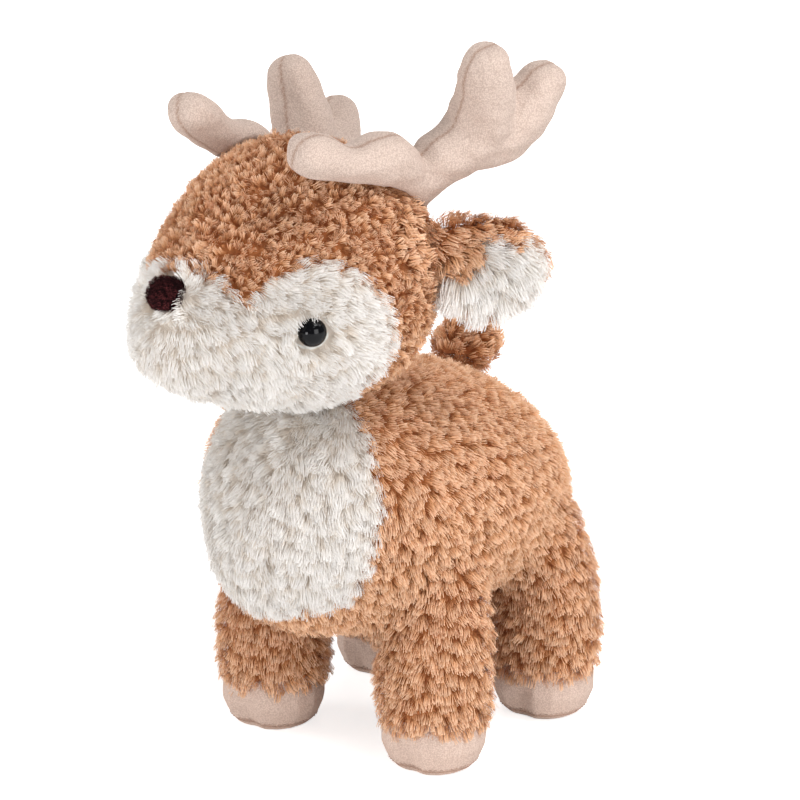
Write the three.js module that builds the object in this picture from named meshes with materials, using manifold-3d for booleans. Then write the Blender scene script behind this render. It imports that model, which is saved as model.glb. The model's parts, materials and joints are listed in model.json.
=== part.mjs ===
// A plush deer that stands on four legs: plush and suedette covers sewn over fibre filling.
// Millimetres, +Z up. The deer looks along -Y, and its left side is +X.
import * as THREE from "three";
import { mergeVertices } from "three/addons/utils/BufferGeometryUtils.js";
import Module from "manifold-3d";

const wasm = await Module();
wasm.setup();

// Fabrics, pile included, and the clearance between pieces that touch in the real toy
const plushThick = 5;
const suedetteThick = 1.8;
const clearance = 0.3;
const cutOverrun = 4;
const mergeShare = 0.001;

// The trunk is a stretched ball; each swelling pushes it out towards one way
const trunk = {
  width: 124,
  length: 169,
  height: 104,
  bellyHeight: 55,
  forward: 8,
  swellings: [
    { reach: 22, wayShares: [0, -0.6, 0.8], spreadShare: 0.35 },
    { reach: 12, wayShares: [0.6, -0.55, 0.58], spreadShare: 0.3 },
    { reach: 12, wayShares: [0.2, -1, -0.25], spreadShare: 0.3 },
    { reach: 8, wayShares: [0.5, 0.7, -0.3], spreadShare: 0.25 },
    { reach: 5, wayShares: [0, -0.6, -0.8], spreadShare: 0.2 },
  ],
};
const chestPatch = { width: 102, depth: 84, height: 122, forward: 90, rise: 20 };

// The head, placed from the trunk's middle: a skull, a muzzle, two cheeks and two jowls
const head = {
  width: 122,
  length: 113,
  height: 111,
  forward: 73.5,
  rise: 118,
  turnDegrees: -6,
  swellings: [
    { reach: 29, wayShares: [0, -0.96, -0.28], spreadShare: 0.21 },
    { reach: 4, wayShares: [0.62, -0.55, -0.55], spreadShare: 0.25 },
    { reach: -5, wayShares: [0.6, -0.6, 0.52], spreadShare: 0.22 },
    { reach: 6, wayShares: [0.75, 0.35, -0.55], spreadShare: 0.3 },
  ],
};
const muzzlePatch = { radius: 42, forward: 58, down: 30 };
const cheekPatch = { radius: 34, aside: 46, forward: 34, down: 20 };
const chinPatch = { radius: 50, forward: 34, down: 44 };

// A velour nose pad and two glossy eyes, each on a shank with a washer inside the head
const nose = { width: 20, height: 16, depth: 9, riseDegrees: 9 };
const eye = {
  diameter: 12,
  dome: 5,
  sunk: 2.2,
  shankDiameter: 4,
  shankSpare: 1.5,
  asideDegrees: 53,
  downDegrees: 9,
};
const washer = { diameter: 16, thick: 1.6 };

// An ear is a cupped leaf of two layers that bends at its seam on the head
const ear = {
  length: 50,
  width: 46,
  thick: 15,
  cup: 9,
  rootWidthShare: 0.85,
  aroundDegrees: 118,
  riseDegrees: 16,
  sweepDegrees: 48,
  droopDegrees: 18,
  rollDegrees: 18,
  bendDegrees: 25,
};

// Antlers lie in a plane of their own. Each place is forward, up and radius, from the root.
const antler = {
  flatnessShare: 0.86,
  aroundDegrees: 135,
  riseDegrees: 35,
  leanDegrees: 21,
  turnDegrees: 6,
  bendDegrees: 8,
  root: [[0, -14, 9], [0, -2, 9], [0, 6, 9]],
  browTine: [[0, 0, 9], [10, 14, 10.5], [21, 18.5, 11], [37, 21, 9], [62, 27.5, 9.2]],
  beam: [[0, 0, 9], [-12, 13, 11.5], [-28, 22, 14], [-29, 40, 13.2], [-24.5, 55.5, 10.5]],
  rearTine: [[-22, 19, 12], [-40, 21, 14], [-52, 30, 13.2], [-61, 43, 9.6]],
};

// The right antler is sewn on a little lower and leans back, as on a toy sewn by hand
const rightAntler = { pitchDegrees: 18, turnDegrees: 5, outward: 2, forward: 4, down: 13 };

// Legs: a plush sleeve that narrows at its cuff and closes in a dome beside the trunk
const leg = {
  radius: 25.5,
  cuffDrop: 5,
  cuffTaper: 1,
  cuffHeight: 6,
  shoulderHeight: 120,
  shoulderInward: 7,
  spacingAcross: 89,
  spacingAlong: 83,
  domePower: 2.2,
};

// Hooves: a suedette cap with a cleft in front, over a cupped sole with a flat foot
const hoof = {
  radius: 21,
  bulgeRadius: 23,
  seamHeight: 25,
  rimRadius: 20.6,
  cleftDepth: 4,
  cleftWidthDegrees: 16,
  lowShare: 0.3,
  highShare: 0.62,
  cleftTopShare: 0.3,
};
const sole = { rimRadius: 20.2, flatRadius: 15, height: 5.5, midRadius: 19, midShare: 0.45 };

// The tail is a short tuft that lies back over the rump
const tail = {
  width: 29,
  thick: 20,
  length: 36,
  riseDegrees: 58,
  leanDegrees: 50,
  bendDegrees: 25,
  rootShare: 0.18,
};

// How finely the round forms are divided
const coverDivisionCount = 5;
const innerDivisionCount = 3;
const smallDivisionCount = 2;
const legSideCount = 16;
const earSideCount = 16;
const tineSideCount = 9;
const tineInnerSideCount = 6;
const roundSideCount = 12;
const domeStepCount = 5;
const earStepCount = 4;
const capStepCount = 3;
const eyeStepCount = 5;

const colours = {
  tanPlush: 0xd59c6b,
  whitePlush: 0xece6df,
  suedette: 0xd9c3b0,
  hoofSuedette: 0xcdb3a3,
  velour: 0x33171a,
  eyeBlack: 0x15151a,
  washer: 0xe8e8e4,
  filling: 0xf2f1ee,
};
const bothSides = [["left", 1], ["right", -1]];

// Short words for points, ways and matrices

const radians = THREE.MathUtils.degToRad;
const quarterTurn = Math.PI / 2;
const fullTurn = 2 * Math.PI;
const vector = (x, y, z) => new THREE.Vector3(x, y, z);
const wayOf = (shares) => vector(...shares).normalize();
const matrix = () => new THREE.Matrix4();
const placeOf = (frame) => vector(0, 0, 0).setFromMatrixPosition(frame);

// Meshes and solids

function bare(geometry) {
  geometry.deleteAttribute("normal");
  geometry.deleteAttribute("uv");
  return mergeVertices(geometry, clearance * mergeShare);
}

function solidOf(geometry) {
  const whole = bare(geometry.clone());
  return new wasm.Manifold(new wasm.Mesh({
    numProp: 3,
    vertProperties: Float32Array.from(whole.getAttribute("position").array),
    triVerts: Uint32Array.from(whole.index.array),
  }));
}

function geometryOf(solid) {
  const { vertProperties, triVerts } = solid.getMesh();
  const geometry = new THREE.BufferGeometry();
  geometry.setAttribute("position", new THREE.BufferAttribute(vertProperties, 3));
  geometry.setIndex(new THREE.BufferAttribute(triVerts, 1));
  return geometry;
}

function meshOf(name, geometry, color, roughness = 0.95) {
  const material = new THREE.MeshStandardMaterial({ color, roughness, metalness: 0 });
  const mesh = new THREE.Mesh(geometry, material);
  mesh.name = name;
  return mesh;
}

function pieceOf(name, solid, colour, roughness) {
  return meshOf(name, geometryOf(solid), colour, roughness);
}

// A copy of a geometry moved by a matrix, turned right side out again where it was mirrored
function moved(geometry, frame) {
  const copy = geometry.clone().applyMatrix4(frame);
  if (frame.determinant() < 0) {
    copy.index.array.reverse();
  }
  return copy;
}

// Moves every point of a form out along its own normal, or in where the distance is negative
function grown(form, distance) {
  const copy = form.clone();
  copy.computeVertexNormals();
  const places = copy.getAttribute("position");
  const normals = copy.getAttribute("normal");
  const point = vector(0, 0, 0);
  const normal = vector(0, 0, 0);
  for (let i = 0; i < places.count; i++) {
    point.fromBufferAttribute(places, i);
    point.addScaledVector(normal.fromBufferAttribute(normals, i), distance);
    places.setXYZ(i, point.x, point.y, point.z);
  }
  return bare(copy);
}

// Stuffed forms

// A piece's shape from its sizes; a swelling that lies aside has its twin on the other side
function shapeOf(piece) {
  const half = vector(piece.width / 2, piece.length / 2, piece.height / 2);
  const swellings = [];
  for (const { reach, wayShares, spreadShare } of piece.swellings) {
    const way = wayOf(wayShares);
    swellings.push({ reach, way, spreadShare });
    if (way.x !== 0) {
      swellings.push({ reach, way: vector(-way.x, way.y, way.z), spreadShare });
    }
  }
  return { half, swellings };
}

// The point where a shape's surface lies for one way out of its middle
function surfacePoint(shape, way) {
  const point = way.clone().multiply(shape.half);
  for (const swelling of shape.swellings) {
    const nearness = Math.exp((way.dot(swelling.way) - 1) / swelling.spreadShare);
    point.addScaledVector(swelling.way, swelling.reach * nearness);
  }
  return point;
}

function stuffedForm(shape, fineness, middle) {
  const form = bare(new THREE.IcosahedronGeometry(1, fineness));
  const places = form.getAttribute("position");
  const way = vector(0, 0, 0);
  for (let i = 0; i < places.count; i++) {
    const point = surfacePoint(shape, way.fromBufferAttribute(places, i).normalize()).add(middle);
    places.setXYZ(i, point.x, point.y, point.z);
  }
  return form;
}

function ballForm(half, middle) {
  return stuffedForm({ half, swellings: [] }, smallDivisionCount, middle);
}

// A form lofted through rings. Each ring has a middle, two ways that span it and a radius
// for each angle. The first and last rings are closed flat.
function loftedForm(rings, count) {
  const places = [];
  const faces = [];
  for (const { middle, across, along, radiusAt } of rings) {
    for (let k = 0; k < count; k++) {
      const angle = (fullTurn * k) / count;
      const point = middle.clone()
        .addScaledVector(across, Math.cos(angle) * radiusAt(angle))
        .addScaledVector(along, Math.sin(angle) * radiusAt(angle));
      places.push(point.x, point.y, point.z);
    }
  }
  const last = (rings.length - 1) * count;
  const middles = [];
  for (const { middle } of [rings[0], rings[rings.length - 1]]) {
    middles.push(places.length / 3);
    places.push(middle.x, middle.y, middle.z);
  }
  const [foot, crown] = middles;
  for (let k = 0; k < count; k++) {
    const next = (k + 1) % count;
    for (let start = 0; start < last; start += count) {
      faces.push(start + k, start + next, start + count + next);
      faces.push(start + k, start + count + next, start + count + k);
    }
    faces.push(foot, next, k, crown, last + k, last + next);
  }
  const form = new THREE.BufferGeometry();
  form.setAttribute("position", new THREE.Float32BufferAttribute(places, 3));
  form.setIndex(faces);
  return form;
}

// A turned form about the Z axis, from a closed profile of radius and height
function turnedForm(profile, count) {
  const points = profile.map(([radius, height]) => new THREE.Vector2(radius, height));
  const form = bare(new THREE.LatheGeometry(points, count));
  return form.applyMatrix4(matrix().makeRotationX(quarterTurn));
}

// Takes away what a piece would run into as it turns on its seam. The body is given in the
// piece's own frame, where the hinge line runs through the origin.
function clearOf(solid, body, hinge, bendDegrees) {
  let rest = solid;
  for (const degrees of [-bendDegrees, 0, bendDegrees]) {
    const turn = matrix().makeRotationAxis(hinge, radians(degrees));
    rest = rest.subtract(solidOf(moved(body, turn)));
  }
  return rest;
}

// The trunk and the head, which everything else is sewn to

const trunkShape = shapeOf(trunk);
const trunkMiddle = vector(0, -trunk.forward, trunk.bellyHeight + trunk.height / 2);
const trunkForm = stuffedForm(trunkShape, coverDivisionCount, trunkMiddle);
const trunkInnerForm = stuffedForm(trunkShape, innerDivisionCount, trunkMiddle);
const trunkRoom = grown(trunkForm, clearance);

const headShape = shapeOf(head);
const headMiddle = trunkMiddle.clone().add(vector(0, -head.forward, head.rise));
const headFrame = matrix().makeRotationZ(radians(head.turnDegrees)).setPosition(headMiddle);
const headForm = stuffedForm(headShape, coverDivisionCount, vector(0, 0, 0));
const headInnerForm = stuffedForm(headShape, innerDivisionCount, vector(0, 0, 0));
const headRoom = grown(headForm, clearance);

// Trunk: a plush cover with a white chest panel let in, over its filling

function chestRegion(extra) {
  const half = vector(chestPatch.width / 2, chestPatch.depth / 2, chestPatch.height / 2);
  const middle = trunkMiddle.clone().add(vector(0, -chestPatch.forward, chestPatch.rise));
  return solidOf(ballForm(half.addScalar(extra), middle));
}

function trunkPieces() {
  const shell = solidOf(trunkForm).subtract(solidOf(grown(trunkInnerForm, -plushThick)));
  const filling = solidOf(grown(trunkInnerForm, -plushThick - clearance));
  return [
    pieceOf("trunk_cover", shell.subtract(chestRegion(clearance)), colours.tanPlush),
    pieceOf("chest_panel", shell.intersect(chestRegion(0)), colours.whitePlush),
    pieceOf("trunk_filling", filling, colours.filling),
  ];
}

// Head: a plush cover with a white face panel let in, over its filling

function patchBall(patch, side, extra) {
  const radius = patch.radius + extra;
  const aside = side * (patch.aside ?? 0);
  return solidOf(ballForm(vector(radius, radius, radius), vector(aside, -patch.forward, -patch.down)));
}

function faceRegion(extra) {
  return patchBall(muzzlePatch, 1, extra)
    .add(patchBall(chinPatch, 1, extra))
    .add(patchBall(cheekPatch, 1, extra))
    .add(patchBall(cheekPatch, -1, extra));
}

// A frame on the head's surface whose Z axis points straight out, found from its angles
// around from the face and up from the middle
function headSeat(aroundDegrees, riseDegrees, depth) {
  const pointAt = (around, rise) => surfacePoint(headShape, vector(
    Math.sin(around) * Math.cos(rise),
    -Math.cos(around) * Math.cos(rise),
    Math.sin(rise),
  ));
  const [around, rise, small] = [aroundDegrees, riseDegrees, 1].map(radians);
  const point = pointAt(around, rise);
  const across = pointAt(around + small, rise).sub(point).normalize();
  const out = across.clone().cross(pointAt(around, rise + small).sub(point)).normalize();
  const up = out.clone().cross(across);
  return matrix().makeBasis(across, up, out).setPosition(point.addScaledVector(out, -depth));
}

function noseForm(extra) {
  const half = vector(nose.width / 2, nose.height / 2, nose.depth / 2).addScalar(extra);
  return moved(ballForm(half, vector(0, 0, 0)), headSeat(0, nose.riseDegrees, 0));
}

// The washer presses on the inside of the face panel, below the eye's seat
const washerTop = eye.sunk - plushThick - clearance;
const washerFoot = washerTop - washer.thick;

function eyeForm(extra) {
  const radius = eye.diameter / 2 + extra;
  const shank = eye.shankDiameter / 2 + extra;
  const foot = washerFoot - eye.shankSpare - extra;
  const profile = [[0, foot], [shank, foot], [shank, -extra], [radius, -extra]];
  for (let i = 1; i < eyeStepCount; i++) {
    const angle = (quarterTurn * i) / eyeStepCount;
    profile.push([radius * Math.cos(angle), (eye.dome + extra) * Math.sin(angle)]);
  }
  profile.push([0, eye.dome + extra]);
  return turnedForm(profile, roundSideCount);
}

function washerForm(extra) {
  const hole = eye.shankDiameter / 2 + clearance - extra;
  const rim = washer.diameter / 2 + extra;
  const [foot, top] = [washerFoot - extra, washerTop + extra];
  return turnedForm([[hole, foot], [rim, foot], [rim, top], [hole, top], [hole, foot]], roundSideCount);
}

function headPieces() {
  const trunkHere = solidOf(moved(trunkRoom, headFrame.clone().invert()));
  const shell = solidOf(headForm).subtract(solidOf(grown(headInnerForm, -plushThick))).subtract(trunkHere);
  let panel = shell.intersect(faceRegion(0)).subtract(solidOf(noseForm(clearance)));
  let filling = solidOf(grown(headInnerForm, -plushThick - clearance)).subtract(trunkHere);
  const pieces = [];
  for (const [word, side] of bothSides) {
    const seat = headSeat(side * eye.asideDegrees, -eye.downDegrees, eye.sunk);
    const eyeRoom = solidOf(moved(eyeForm(clearance), seat));
    const washerRoom = solidOf(moved(washerForm(clearance), seat));
    panel = panel.subtract(eyeRoom).subtract(washerRoom);
    filling = filling.subtract(eyeRoom).subtract(washerRoom);
    pieces.push(meshOf(`eye_${word}`, moved(eyeForm(0), seat), colours.eyeBlack, 0.08));
    pieces.push(meshOf(`eye_washer_${word}`, moved(washerForm(0), seat), colours.washer, 0.4));
  }
  return [
    ...pieces,
    pieceOf("head_cover", shell.subtract(faceRegion(clearance)), colours.tanPlush),
    pieceOf("face_panel", panel, colours.whitePlush),
    pieceOf("head_filling", filling, colours.filling),
    meshOf("nose", noseForm(0), colours.velour),
  ];
}

// Ears

// One layer of the leaf: a dome over a flat disc, narrowed to the root and then cupped
function earLayer(face) {
  const profile = [];
  for (let i = 0; i < earStepCount; i++) {
    profile.push([i / earStepCount, 0]);
  }
  for (let i = 0; i < earStepCount; i++) {
    const angle = (quarterTurn * i) / earStepCount;
    profile.push([Math.cos(angle), Math.sin(angle)]);
  }
  profile.push([0, 1]);
  const layer = turnedForm(profile, earSideCount);
  const places = layer.getAttribute("position");
  for (let i = 0; i < places.count; i++) {
    const [along, across, height] = [places.getX(i), places.getY(i), places.getZ(i)];
    const widthShare = across * (1 - (1 - ear.rootWidthShare) * Math.min(0, along) ** 2);
    const level = (height * ear.thick) / 2 + clearance / 2;
    const x = ((along + 1) * ear.length) / 2;
    places.setXYZ(i, x, (widthShare * ear.width) / 2, face * level - ear.cup * widthShare ** 2);
  }
  if (face < 0) {
    layer.index.array.reverse();
  }
  return layer;
}

// The left ear's frame: X runs out to the tip, Y across the leaf, Z out of its plush back
function earFrame() {
  const [sweep, droop, roll] = [ear.sweepDegrees, ear.droopDegrees, ear.rollDegrees].map(radians);
  const out = vector(
    Math.cos(sweep) * Math.cos(droop),
    Math.sin(sweep) * Math.cos(droop),
    -Math.sin(droop),
  );
  const back = vector(0, 0, 1).cross(out).normalize();
  const top = out.clone().cross(back);
  const normal = back.multiplyScalar(Math.cos(roll)).addScaledVector(top, Math.sin(roll));
  const across = normal.clone().cross(out);
  return matrix().makeBasis(out, across, normal)
    .setPosition(placeOf(headSeat(ear.aroundDegrees, ear.riseDegrees, 0)));
}

// A group for a piece made for the left side: the right one is its mirror image. The
// group's own axes stay right-handed, and its origin lies on the hinge line.
function sidedGroup(frame, side, parts) {
  const mirror = matrix().makeScale(side, 1, 1);
  const own = matrix().makeScale(1, side, 1);
  const group = new THREE.Group();
  group.applyMatrix4(mirror.multiply(frame).multiply(own));
  for (const [name, solid, colour] of parts) {
    group.add(meshOf(name, moved(geometryOf(solid), own), colour));
  }
  return group;
}

function earGroup(word, side) {
  const frame = earFrame();
  const headHere = moved(headRoom, frame.clone().invert());
  const layerSolid = (face) => clearOf(solidOf(earLayer(face)), headHere, vector(0, 1, 0), ear.bendDegrees);
  return sidedGroup(frame, side, [
    [`ear_${word}_back`, layerSolid(1), colours.tanPlush],
    [`ear_${word}_lining`, layerSolid(-1), colours.whitePlush],
  ]);
}

// Antlers

// A tine swept along its places, with round ends, drawn in by one fabric's thickness or more
function tineForm(places, inward, count) {
  const path = new THREE.CatmullRomCurve3(places.map(([forward, up]) => vector(forward, 0, up)));
  const normal = vector(0, 1, 0);
  const rings = [];
  const radiusOn = (t) => {
    const spot = t * (places.length - 1);
    const index = Math.min(Math.floor(spot), places.length - 2);
    return THREE.MathUtils.lerp(places[index][2], places[index + 1][2], spot - index) - inward;
  };
  const addRing = (t, shiftShare, radiusShare) => {
    const tangent = path.getTangent(t);
    const radius = radiusOn(t) * radiusShare;
    rings.push({
      middle: path.getPoint(t).addScaledVector(tangent, radiusOn(t) * shiftShare),
      across: normal.clone().cross(tangent).normalize(),
      along: normal.clone().multiplyScalar(antler.flatnessShare),
      radiusAt: () => radius,
    });
  };
  for (let i = 1; i < capStepCount; i++) {
    const angle = (quarterTurn * i) / capStepCount;
    addRing(0, -Math.cos(angle), Math.sin(angle));
  }
  const pathSteps = 2 * (places.length - 1);
  for (let i = 0; i <= pathSteps; i++) {
    addRing(i / pathSteps, 0, 1);
  }
  for (let i = 1; i < capStepCount; i++) {
    const angle = (quarterTurn * i) / capStepCount;
    addRing(1, Math.sin(angle), Math.cos(angle));
  }
  return loftedForm(rings, count);
}

function antlerSolid(inward, count) {
  return [antler.root, antler.browTine, antler.beam, antler.rearTine]
    .map((places) => solidOf(tineForm(places, inward, count)))
    .reduce((whole, tine) => whole.add(tine));
}

// The left antler's frame: X runs forward, Z up in the antler's plane, Y out of the plane
function antlerFrame(side) {
  const [turn, lean] = [antler.turnDegrees, antler.leanDegrees].map(radians);
  const forward = vector(-Math.sin(turn), -Math.cos(turn), 0);
  const outward = vector(Math.cos(turn), -Math.sin(turn), 0);
  const up = outward.multiplyScalar(Math.sin(lean)).add(vector(0, 0, Math.cos(lean)));
  const frame = matrix().makeBasis(forward, up.clone().cross(forward), up);
  const root = placeOf(headSeat(antler.aroundDegrees, antler.riseDegrees, 0));
  if (side < 0) {
    frame.premultiply(matrix().makeRotationX(-radians(rightAntler.pitchDegrees)));
    frame.premultiply(matrix().makeRotationZ(-radians(rightAntler.turnDegrees)));
    root.add(vector(rightAntler.outward, -rightAntler.forward, -rightAntler.down));
  }
  return frame.setPosition(root);
}

function antlerGroup(word, side) {
  const frame = antlerFrame(side);
  const headHere = moved(headRoom, frame.clone().invert());
  const cleared = (solid) => clearOf(solid, headHere, vector(1, 0, 0), antler.bendDegrees);
  const outer = cleared(antlerSolid(0, tineSideCount));
  const inner = antlerSolid(suedetteThick, tineInnerSideCount);
  const filling = cleared(antlerSolid(suedetteThick + clearance, tineInnerSideCount));
  return sidedGroup(frame, side, [
    [`antler_${word}_cover`, outer.subtract(inner), colours.suedette],
    [`antler_${word}_filling`, filling, colours.filling],
  ]);
}

// Legs and hooves, each about its own upright axis

function levelRing(height, radiusAt, x = 0, y = 0) {
  return { middle: vector(x, y, height), across: vector(1, 0, 0), along: vector(0, 1, 0), radiusAt };
}

// The leg's surface from its cuff up, drawn in by some distance, for a left leg at one end
function sleeveRings(inward, bottom, end) {
  const radius = leg.radius - inward;
  const rise = leg.shoulderHeight - trunk.bellyHeight;
  const rings = [
    levelRing(bottom, () => radius - leg.cuffTaper),
    levelRing(bottom + leg.cuffHeight, () => radius),
    levelRing(trunk.bellyHeight, () => radius),
  ];
  for (let i = 1; i < domeStepCount; i++) {
    const share = i / domeStepCount;
    const domeRadius = leg.radius * Math.sqrt(1 - share ** leg.domePower) - inward;
    const shift = -leg.shoulderInward * share;
    rings.push(levelRing(trunk.bellyHeight + (rise - inward) * share, () => domeRadius, shift, end * shift));
  }
  return rings;
}

// A round outline with the cleft pressed into its front
function cleftOutline(radius, depth) {
  return (angle) => {
    const off = Math.atan2(Math.sin(angle + quarterTurn), Math.cos(angle + quarterTurn));
    return radius - depth * Math.exp(-((off / radians(hoof.cleftWidthDegrees)) ** 2));
  };
}

function hoofRings(inward) {
  const bottom = sole.height + clearance;
  const rise = hoof.seamHeight - bottom;
  const bulge = hoof.bulgeRadius - inward;
  return [
    levelRing(bottom, cleftOutline(hoof.rimRadius - inward, hoof.cleftDepth)),
    levelRing(bottom + rise * hoof.lowShare, cleftOutline(bulge, hoof.cleftDepth)),
    levelRing(bottom + rise * hoof.highShare, cleftOutline(bulge, hoof.cleftDepth * hoof.cleftTopShare)),
    levelRing(hoof.seamHeight, cleftOutline(hoof.radius - inward, 0)),
  ];
}

function soleRings(inward) {
  const middle = sole.height * sole.midShare + inward / 2;
  return [
    levelRing(inward, cleftOutline(sole.flatRadius, hoof.cleftDepth / 2)),
    levelRing(middle, cleftOutline(sole.midRadius - inward, hoof.cleftDepth)),
    levelRing(sole.height, cleftOutline(sole.rimRadius - inward, hoof.cleftDepth)),
  ];
}

// Rings carried on past both ends, so that a cut goes right through
function carriedOn(rings, below, above) {
  const first = rings[0];
  const last = rings[rings.length - 1];
  return [
    ...(below ? [levelRing(first.middle.z - below, first.radiusAt)] : []),
    ...rings,
    ...(above ? [levelRing(last.middle.z + above, last.radiusAt)] : []),
  ];
}

// The room that the top of the hoof takes inside the cuff
function cuffRoom() {
  const [bulge, top] = [hoof.bulgeRadius, hoof.radius].map((radius) => radius + clearance);
  const high = hoofRings(0)[2].middle.z;
  return [
    levelRing(high - cutOverrun, () => bulge),
    levelRing(high, () => bulge),
    levelRing(hoof.seamHeight + clearance, () => top),
  ];
}

function legGroup(name, side, end) {
  const group = new THREE.Group();
  group.position.set((side * leg.spacingAcross) / 2, (end * leg.spacingAlong) / 2, 0);
  const toLeg = matrix().makeTranslation(-group.position.x, -group.position.y, 0);
  const trunkHere = solidOf(moved(trunkRoom, toLeg));
  const mirror = matrix().makeScale(side, 1, 1);
  const lofted = (rings, count) => solidOf(moved(loftedForm(rings, count), mirror));

  const innerBottom = hoof.seamHeight - leg.cuffDrop - cutOverrun;
  const sleeve = lofted(sleeveRings(0, hoof.seamHeight - leg.cuffDrop, end), legSideCount)
    .subtract(lofted(sleeveRings(plushThick, innerBottom, end), legSideCount))
    .subtract(lofted(cuffRoom(), legSideCount))
    .subtract(trunkHere);
  const cap = lofted(hoofRings(0), legSideCount)
    .subtract(lofted(carriedOn(hoofRings(suedetteThick), cutOverrun, cutOverrun), legSideCount));
  const cup = lofted(soleRings(0), legSideCount)
    .subtract(lofted(carriedOn(soleRings(suedetteThick), 0, cutOverrun), legSideCount));

  const suedetteRoom = suedetteThick + clearance;
  const plushRoom = plushThick + clearance;
  const filling = lofted([
    ...soleRings(suedetteRoom).slice(0, 2),
    ...hoofRings(suedetteRoom).slice(1),
    ...sleeveRings(plushRoom, hoof.seamHeight, end).slice(1),
  ], legSideCount).subtract(trunkHere);

  group.add(pieceOf(`leg_${name}_cover`, sleeve, colours.tanPlush));
  group.add(pieceOf(`hoof_${name}_cover`, cap, colours.hoofSuedette));
  group.add(pieceOf(`hoof_${name}_sole`, cup, colours.hoofSuedette));
  group.add(pieceOf(`leg_${name}_filling`, filling, colours.filling));
  return group;
}

// Tail

function tailGroup() {
  const rise = radians(tail.riseDegrees);
  const group = new THREE.Group();
  group.position.copy(surfacePoint(trunkShape, vector(0, Math.cos(rise), Math.sin(rise))));
  group.position.add(trunkMiddle);
  group.rotation.x = -radians(tail.leanDegrees);
  group.updateMatrix();
  const trunkHere = moved(trunkRoom, group.matrix.clone().invert());
  const half = vector(tail.width / 2, tail.thick / 2, tail.length / 2);
  const outer = ballForm(half, vector(0, 0, tail.length * (1 / 2 - tail.rootShare)));
  const cleared = (solid) => clearOf(solid, trunkHere, vector(1, 0, 0), tail.bendDegrees);
  const cover = cleared(solidOf(outer).subtract(solidOf(grown(outer, -plushThick))));
  const filling = cleared(solidOf(grown(outer, -plushThick - clearance)));
  group.add(pieceOf("tail_cover", cover, colours.tanPlush));
  group.add(pieceOf("tail_filling", filling, colours.filling));
  return group;
}

// The whole deer, stood with its origin on the floor below the middle of its box

function deer() {
  const whole = new THREE.Group();
  const headGroup = new THREE.Group();
  headGroup.applyMatrix4(headFrame);
  headGroup.add(...headPieces());
  for (const [word, side] of bothSides) {
    headGroup.add(earGroup(word, side), antlerGroup(word, side));
    whole.add(legGroup(`front_${word}`, side, -1), legGroup(`hind_${word}`, side, 1));
  }
  whole.add(...trunkPieces(), headGroup, tailGroup());
  whole.updateMatrixWorld(true);
  const box = new THREE.Box3().setFromObject(whole, true);
  const middle = box.getCenter(vector(0, 0, 0));
  whole.position.set(-middle.x, -middle.y, -box.min.z);
  return whole;
}

export default deer();
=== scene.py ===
import json
import math
import random

import bpy
import numpy as np
from mathutils import Matrix, Vector
from mathutils.bvhtree import BVHTree

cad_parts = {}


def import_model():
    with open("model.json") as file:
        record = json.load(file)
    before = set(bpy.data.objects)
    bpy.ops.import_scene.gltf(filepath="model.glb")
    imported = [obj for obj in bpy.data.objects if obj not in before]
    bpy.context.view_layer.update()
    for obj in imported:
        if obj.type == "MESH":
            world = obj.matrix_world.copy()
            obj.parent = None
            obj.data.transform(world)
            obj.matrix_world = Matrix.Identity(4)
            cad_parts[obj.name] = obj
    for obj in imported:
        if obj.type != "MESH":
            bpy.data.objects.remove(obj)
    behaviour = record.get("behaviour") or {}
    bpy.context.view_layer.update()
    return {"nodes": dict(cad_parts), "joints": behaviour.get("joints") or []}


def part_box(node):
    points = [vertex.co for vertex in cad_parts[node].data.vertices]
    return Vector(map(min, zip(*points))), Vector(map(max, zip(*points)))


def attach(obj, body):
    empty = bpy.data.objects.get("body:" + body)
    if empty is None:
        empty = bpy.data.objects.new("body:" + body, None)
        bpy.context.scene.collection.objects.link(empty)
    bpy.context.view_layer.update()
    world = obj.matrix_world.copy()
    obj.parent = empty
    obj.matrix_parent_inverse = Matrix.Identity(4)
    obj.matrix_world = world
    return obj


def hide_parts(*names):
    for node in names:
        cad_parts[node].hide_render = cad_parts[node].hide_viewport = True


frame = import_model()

MM = 0.001
LEGS = ("front_left", "front_right", "hind_left", "hind_right")
SIDES = ("left", "right")
nodes = frame["nodes"]


# Colours and small helpers

def colour(code):
    """A hex code as linear light"""
    parts = [int(code[i:i + 2], 16) / 255 for i in (0, 2, 4)]
    return tuple(c / 12.92 if c <= 0.04045 else ((c + 0.055) / 1.055) ** 2.4 for c in parts) + (1.0,)


def unit(rows):
    return rows / np.maximum(np.linalg.norm(rows, axis=-1, keepdims=True), 1e-9)


def points_of(mesh):
    flat = np.empty(len(mesh.vertices) * 3)
    mesh.vertices.foreach_get("co", flat)
    return flat.reshape(-1, 3)


def normals_of(mesh):
    flat = np.empty(len(mesh.vertices) * 3)
    mesh.vertex_normals.foreach_get("vector", flat)
    return flat.reshape(-1, 3)


def show(name, mesh, material=None, smooth=True):
    obj = bpy.data.objects.new(name, mesh)
    bpy.context.scene.collection.objects.link(obj)
    if material is not None:
        mesh.materials.clear()
        mesh.materials.append(material)
    if smooth:
        mesh.shade_smooth()
    return obj


def mesh_from(name, points, faces):
    mesh = bpy.data.meshes.new(name)
    mesh.from_pydata([tuple(p) for p in points], [], [tuple(f) for f in faces])
    mesh.update()
    return mesh


def store(mesh, label, values, kind="FLOAT"):
    part = "vector" if kind == "FLOAT_VECTOR" else "value"
    mesh.attributes.new(label, kind, "POINT").data.foreach_set(part, values)


def plain_mesh(obj):
    bpy.context.view_layer.update()
    graph = bpy.context.evaluated_depsgraph_get()
    mesh = bpy.data.meshes.new_from_object(obj.evaluated_get(graph))
    bpy.data.objects.remove(obj)
    return mesh


def box_middle(name):
    low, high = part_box(name)
    return (Vector(low) + Vector(high)) / 2


HEAD_FROM_FEET = Vector((0, -81.5, 225)) * MM

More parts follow.
